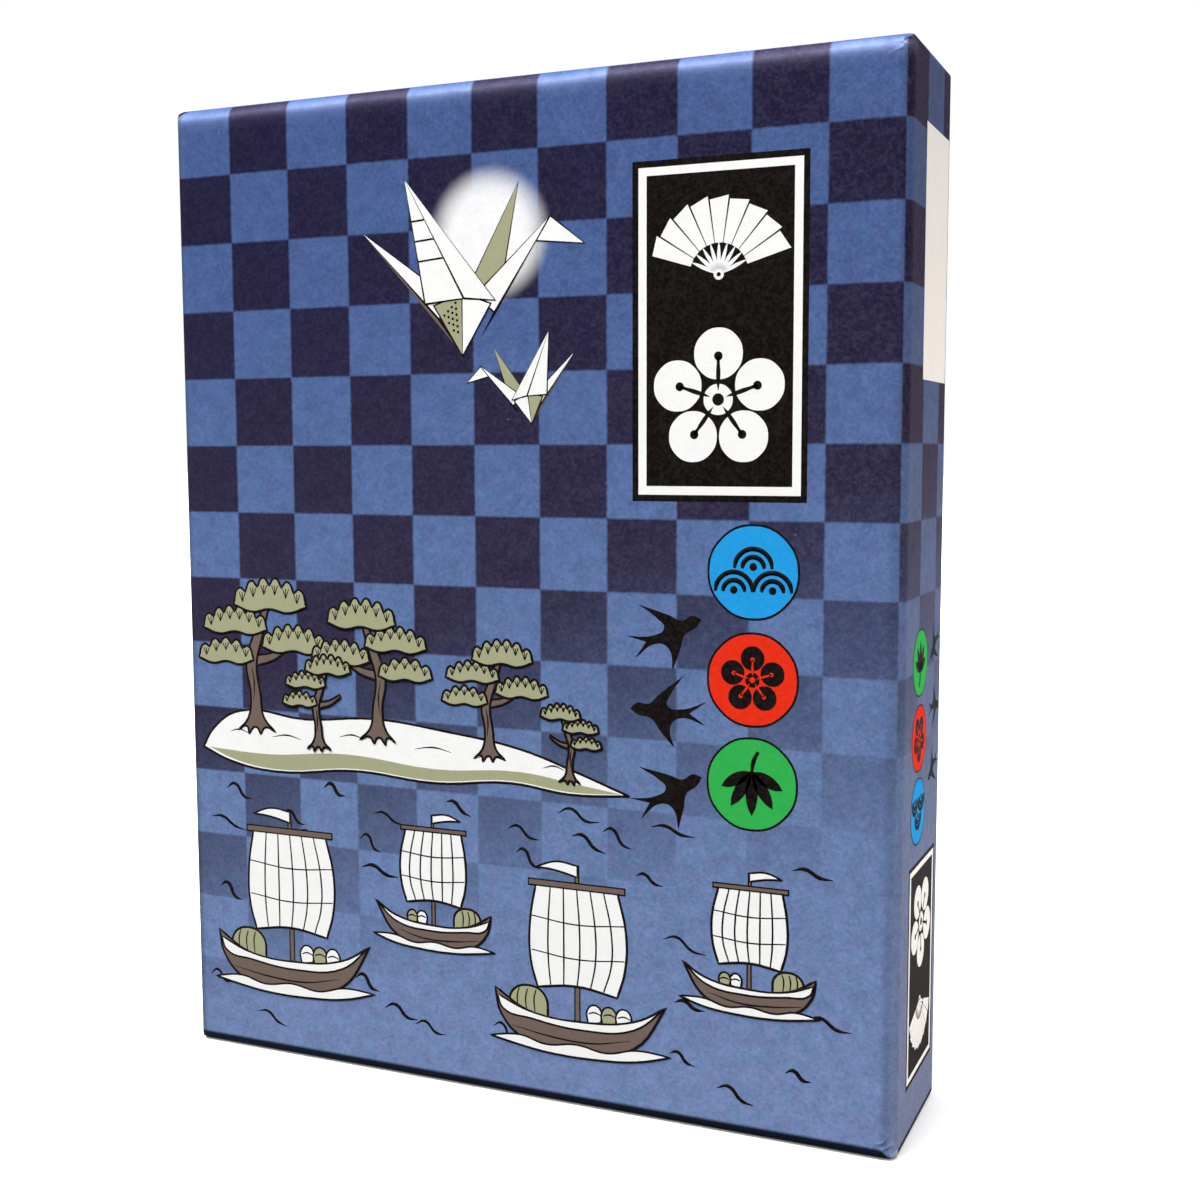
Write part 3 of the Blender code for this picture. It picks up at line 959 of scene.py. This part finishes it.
def print_front():
    """All that is printed on the face over the check."""
    place = (0.0, FRONT, 0.0)
    picture = Stencil()
    spots = [(-57, 48), (-46, 45), (-35, 49), (-25, 46), (-12, 49.5), (-1, 46), (8, 49.6), (17, 46.5)]
    spots += [(26, 48), (-61, 42), (-30, 42), (2, 42), (22, 41), (-60, 30), (-31, 17), (-3, 12), (28, 12)]
    spots += [(26, 31), (-28, 36), (-62, 13), (47, 12), (-52, 8), (-18, 9), (-19, 44), (10, 45), (-41, 42)]
    spots += [(48, 44), (29, 20), (-26, 12), (50, 20), (36, 8)]
    draw_ripples(picture, random.Random(WATER_SEED), spots)
    draw_sandbank(picture)
    draw_pine(picture, -50.6, 60.6, 1.14, 1.0, 4)
    draw_pine(picture, -25.0, 60.4, 1.02, -1.0, 22)
    draw_pine(picture, -37.4, 57.6, 0.7, 1.0, 40, False)
    draw_pine(picture, -4.0, 58.6, 0.84, 1.0, 4)
    draw_pine(picture, 11.0, 55.4, 0.54, -1.0, 22, False)
    draw_boat(picture, -44.4, 16.6, 1.08)
    draw_boat(picture, -14.4, 27.0, 0.76, -1.0, 0, 2)
    draw_boat(picture, 11.5, 13.8, 1.04)
    draw_boat(picture, 42.0, 23.6, 0.74, -1.0, 0, 2)
    draw_folded_crane(picture, -8.0, 136.0, 0.82)
    draw_folded_crane(picture, 3.6, 118.6, 0.4, 8.0, -1.0, False)
    picture.press("front_picture", place, 0.0)

    board = Stencil()
    draw_plaque(board, 36.02, 126.5, 1.0)
    board.press("front_plaque", place, 0.0)

    marks = Stencil()
    draw_discs(marks, 41.8, (89.8, 73.2, 56.9), 1.0)
    draw_bird(marks, 28.2, 80.0, 0.95, 18.0)
    draw_bird(marks, 27.2, 67.4, 0.95, 4.0, -1.0)
    draw_bird(marks, 28.6, 54.6, 0.95, 24.0)
    marks.press("front_marks", place, 0.0)


def print_side():
    """The right wall has the plaque and the marks again, smaller and upside down, and a bare label."""
    place = (RIGHT, 0.0, 0.0)
    turned = pi / 2.0
    board = Stencil()
    draw_plaque(board, 2.1, 26.2, 0.68, 180.0)
    board.press("side_plaque", place, turned)

    marks = Stencil()
    draw_discs(marks, -1.8, (52.0, 63.6, 75.5), 0.72, 180.0)
    draw_bird(marks, 9.0, 57.0, 0.6, 198.0)
    draw_bird(marks, 9.6, 67.0, 0.6, 184.0, -1.0)
    draw_bird(marks, 9.0, 77.0, 0.6, 204.0)
    marks.press("side_marks", place, turned)

    label = Stencil()
    label.fill("label", rectangle(-3.6, 119.0, 13.3, 157.2))
    label.press("side_label", place, turned)


# Cards


def finish_card(shader, grain, colour, contrast, roughness):
    """Coated card stock with a fine grain."""
    colour = colour.scaled(grain * contrast + (1.0 - contrast / 2.0))
    finish_surface(shader, colour, grain * 0.1 + roughness, 0.35, {"Normal": grain.bump(0.01 * MM, 0.3)})


def picture_face(name, sky, hill, sea, sun_x, crest):
    """A landscape on a card: sun, hills and water with pale ripples, inside a plain margin."""
    material, place, shader = start_material("picture_face_" + name, "UV")
    x, y, _ = place.split()
    grain = place.noise(CARD_GRAIN, 3.0)
    swell = (x * 9.0 + crest).sine() * 0.05
    colour = y.ramp((0.45, srgb(*sky)), (0.9, srgb(246, 240, 222)))
    sun = squared_distance((x - sun_x) * CARD_ASPECT, y - 0.72)
    colour = (0.0125 - sun).rise(0.0008).mix(colour, srgb(206, 62, 44))
    colour = (swell + 0.52 - y).rise(SOFT_EDGE).mix(colour, srgb(*hill))
    colour = (swell * -0.6 + 0.4 - y).rise(SOFT_EDGE).mix(colour, srgb(168, 170, 132))
    colour = (0.3 - y).rise(SOFT_EDGE).mix(colour, srgb(*sea))
    ripple = (y * 95.0 + (x * 14.0).sine()).sine()
    colour = ((ripple - 0.86).rise(0.1) * (y < 0.29)).mix(colour, srgb(232, 236, 238))
    edge = place.sum("MAXIMUM", abs(x - 0.5) * CARD_ASPECT, abs(y - 0.5) - 0.122)
    colour = (edge - 0.332).rise(0.003).mix(colour, srgb(247, 245, 238))
    finish_card(shader, grain, colour, 0.12, 0.36)
    return material


def reading_face(name, mark):
    """A reading card's face: cream paper, a coloured disc and faint ruled columns."""
    material, place, shader = start_material("reading_face_" + name, "UV")
    x, y, _ = place.split()
    grain = place.noise(CARD_GRAIN, 3.0)
    colour = grain.mix(srgb(246, 240, 224), srgb(240, 232, 213))
    rule = abs(place.sum("FRACT", x * 6.0) - 0.5) - 0.485
    inside = (abs(x - 0.5) < 0.42) * (abs(y - 0.42) < 0.33)
    colour = (rule.rise(0.01) * inside).mix(colour, srgb(176, 160, 140))
    disc = squared_distance((x - 0.76) * CARD_ASPECT, y - 0.86)
    colour = (0.0072 - disc).rise(0.0003).mix(colour, srgb(44, 38, 38))
    colour = (0.0064 - disc).rise(0.0003).mix(colour, srgb(*mark))
    finish_card(shader, grain, colour, 0.1, 0.4)
    return material


def make_card_blank():
    """One card at the origin: rounded corners, soft edges and a raised border round its face."""
    low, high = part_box("picture_card_upper_01")
    size = high - low
    card = add_block(size, (0.0, 0.0, 0.0))
    set_mode("EDIT")
    choose(card, "edges", lambda edge: abs(edge.verts[0].co.y - edge.verts[1].co.y) > CARD_THICKNESS / 2.0)
    bpy.ops.mesh.bevel(offset=CARD_CORNER, segments=6, affect="EDGES")
    choose(card, "faces", lambda face: abs(face.normal.y) > FACING)
    bpy.ops.mesh.region_to_loop()
    bpy.ops.mesh.bevel(offset=CARD_EDGE, segments=2, affect="EDGES")
    choose(card, "faces", lambda face: face.normal.y < -FACING)
    bpy.ops.mesh.inset(thickness=CARD_BORDER, depth=0.0)
    bpy.ops.mesh.inset(thickness=CARD_FOLD, depth=-CARD_FOLD)
    shape = bmesh.from_edit_mesh(card.data)
    layer = shape.loops.layers.uv.verify()
    for face in shape.faces:
        face.material_index = 0 if face.select else 1
        for loop in face.loops:
            loop[layer].uv = (loop.vert.co.x / size.x + 0.5, loop.vert.co.z / size.z + 0.5)
    bmesh.update_edit_mesh(card.data)
    set_mode("OBJECT")
    bpy.ops.object.shade_smooth_by_angle(angle=SMOOTH_ANGLE)
    return card


def copy_card(blank, name, centre, face, backing):
    """A card at its place. cover() sets each face back to the first material, so no backing shows."""
    card = add_object(name, blank.data.copy())
    card.data.name = name
    cover(card, face, backing)
    clear_selection()
    pick(card)
    card.location = centre
    apply_transform()
    return card


def deal_cards():
    """All 96 cards: ten loose ones on each stack, and the fourteen behind them as one piece."""
    picture_faces = [
        picture_face("dawn", (196, 214, 228), (92, 120, 112), (66, 104, 158), 0.34, 0.4),
        picture_face("bay", (240, 214, 170), (70, 96, 110), (88, 132, 166), 0.66, 2.1),
        picture_face("moor", (206, 216, 206), (122, 112, 92), (72, 92, 132), 0.5, 4.0),
    ]
    discs = {"sky": (34, 150, 222), "red": (226, 54, 34), "leaf": (54, 164, 84)}
    reading_faces = [reading_face(name, colour) for name, colour in discs.items()]
    indigo = plain_paper("picture_backing", srgb(52, 66, 112), srgb(46, 58, 100), 0.5)
    russet = plain_paper("reading_backing", srgb(150, 58, 44), srgb(138, 52, 40), 0.5)
    blank = make_card_blank()
    for kind, faces, backing in (("picture", picture_faces, indigo), ("reading", reading_faces, russet)):
        for start, row in enumerate(("upper", "lower")):
            for number in range(1, LOOSE_CARDS + 1):
                node = f"{kind}_card_{row}_{number:02d}"
                low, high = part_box(node)
                face = faces[(number + start - 1) % 3]
                card = copy_card(blank, node + "_face", (low + high) / 2.0, face, backing)
                place_piece(card, node, node)
            node = f"{kind}_pack_{row}"
            low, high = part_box(node)
            pack = []
            for number in range(CARDS_IN_PACK):
                centre = (low + high) / 2.0
                centre.y = low.y + CARD_THICKNESS / 2.0 + number * CARD_PITCH
                face = faces[(number + start + LOOSE_CARDS) % 3]
                pack.append(copy_card(blank, f"{node}_cards", centre, face, backing))
            clear_selection()
            for card in reversed(pack):
                pick(card)
            bpy.ops.object.join()
            place_piece(pack[0], node, node)
    bpy.data.objects.remove(blank)


def place_piece(piece, body, node):
    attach(piece, body)
    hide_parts(node)


def dress_box():
    """The two wraps, and the board, liners and corner tapes under them."""
    lid = make_folded_wrap("lid_printed_wrap", LID_LOW, LID_HIGH, 1.0, LID_EDGE_RADII, WRAP_PRINT)
    place_piece(lid, "lid", "lid_wrap")
    tray = make_folded_wrap("tray_paper_wrap", TRAY_LOW, TRAY_HIGH, -1.0, TRAY_EDGE_RADII, TRAY_PAPER)
    place_piece(tray, "tray", "tray_wrap")
    for name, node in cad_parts.items():
        for word, material in (("_board", GREYBOARD), ("_liner", LINER_PAPER), ("_stay_", CORNER_TAPE)):
            if word in name:
                cover(node, material)


# The studio: levels at which a colour shows as it is written

AMBIENT_LOW = 0.15
AMBIENT_HIGH = 1.0
FLOOR_BOUNCE = grey(0.02)
FLOOR_NEAR = 0.2
FLOOR_FAR = 0.9
FLOOR_NEAR_GLOW = grey(0.15)
BOX_MIDDLE = (0.0, 0.0, 0.08)
SIDE_AIM = (0.0, 0.0, 0.02)
SIDE_WARMTH = (1.0, 0.9, 0.85)

CAMERA_PLACE = (0.11384, -0.24023, 0.10855)
CAMERA_TURN = (84.45, 0.14, 23.355)
CAMERA_LENS = 46.47
CAMERA_SENSOR = 36.0
CAMERA_NEAR = 0.01


def make_floor():
    """A wide pale floor with the box's shadow. Far from the box it glows, so that no horizon shows."""
    clear_selection()
    bpy.ops.mesh.primitive_plane_add(size=12.0)
    floor = bpy.context.object
    floor.name = "studio_floor"
    material, place, shader = start_material("studio_floor")
    x, y, _ = place.split()
    far = squared_distance(x, y).rise(FLOOR_FAR ** 2, FLOOR_NEAR ** 2)
    glow = {"Emission Color": far.mix(FLOOR_NEAR_GLOW, WHITE), "Emission Strength": 1.0}
    finish_surface(shader, srgb(240, 240, 240), 0.9, 0.0, glow)
    dull = place.add("BsdfDiffuse", {"Color": FLOOR_BOUNCE})
    shown = shown_rays(material.node_tree)
    surface = place.add("MixShader", {0: shown, 1: dull, 2: Tone(shader.outputs[0])})
    output = material.node_tree.nodes["Material Output"]
    material.node_tree.links.new(surface.socket, output.inputs["Surface"])
    floor.data.materials.append(material)


def shown_rays(tree):
    """1 for what the camera, a mirror or glass shows, 0 for the light that falls on the object."""
    rays = tree.nodes.new("ShaderNodeLightPath").outputs
    seen, mirrored, through = [Tone(rays[f"Is {kind} Ray"]) for kind in ("Camera", "Glossy", "Transmission")]
    return (seen + mirrored + through).clamp()


def make_world():
    """A soft light from all round, stronger from above, shown as white behind the object."""
    world = bpy.data.worlds.new("studio")
    bpy.context.scene.world = world
    world.use_nodes = True
    tree = world.node_tree
    up = Tone(tree.nodes.new("ShaderNodeTexCoord").outputs["Generated"]).split()[2]
    ambient = up.rise(0.9) * (AMBIENT_HIGH - AMBIENT_LOW) + AMBIENT_LOW
    shown = shown_rays(tree)
    strength = shown + (1.0 - shown) * ambient
    background = tree.nodes["Background"]
    background.inputs["Color"].default_value = WHITE
    tree.links.new(strength.socket, background.inputs["Strength"])


def add_softbox(name, place, aim, size, power, colour=WHITE[:3]):
    lamp = bpy.data.lights.new(name, "AREA")
    lamp.color = colour
    lamp.shape = "SQUARE"
    lamp.size = size
    lamp.energy = power
    softbox = add_object(name, lamp)
    softbox.location = place
    softbox.visible_camera = False
    softbox.rotation_euler = (Vector(aim) - Vector(place)).to_track_quat("-Z", "Y").to_euler()


def make_studio():
    make_floor()
    make_world()
    add_softbox("key_softbox", (-0.75, -0.72, 2.05), BOX_MIDDLE, 1.3, 111.0)
    add_softbox("back_softbox", (0.3, 1.3, 1.5), BOX_MIDDLE, 1.0, 14.0)
    add_softbox("side_softbox", (0.235, 0.0, 0.02), SIDE_AIM, 0.1, 0.27, SIDE_WARMTH)


def make_camera():
    camera = bpy.data.cameras.new("camera")
    camera.sensor_width = CAMERA_SENSOR
    camera.lens = CAMERA_LENS
    camera.clip_start = CAMERA_NEAR
    stand = add_object("camera", camera)
    stand.location = CAMERA_PLACE
    stand.rotation_euler = [radians(angle) for angle in CAMERA_TURN]
    bpy.context.scene.camera = stand
    bpy.context.scene.view_settings.view_transform = "Standard"


make_camera()
dress_box()
print_front()
print_side()
deal_cards()
make_studio()
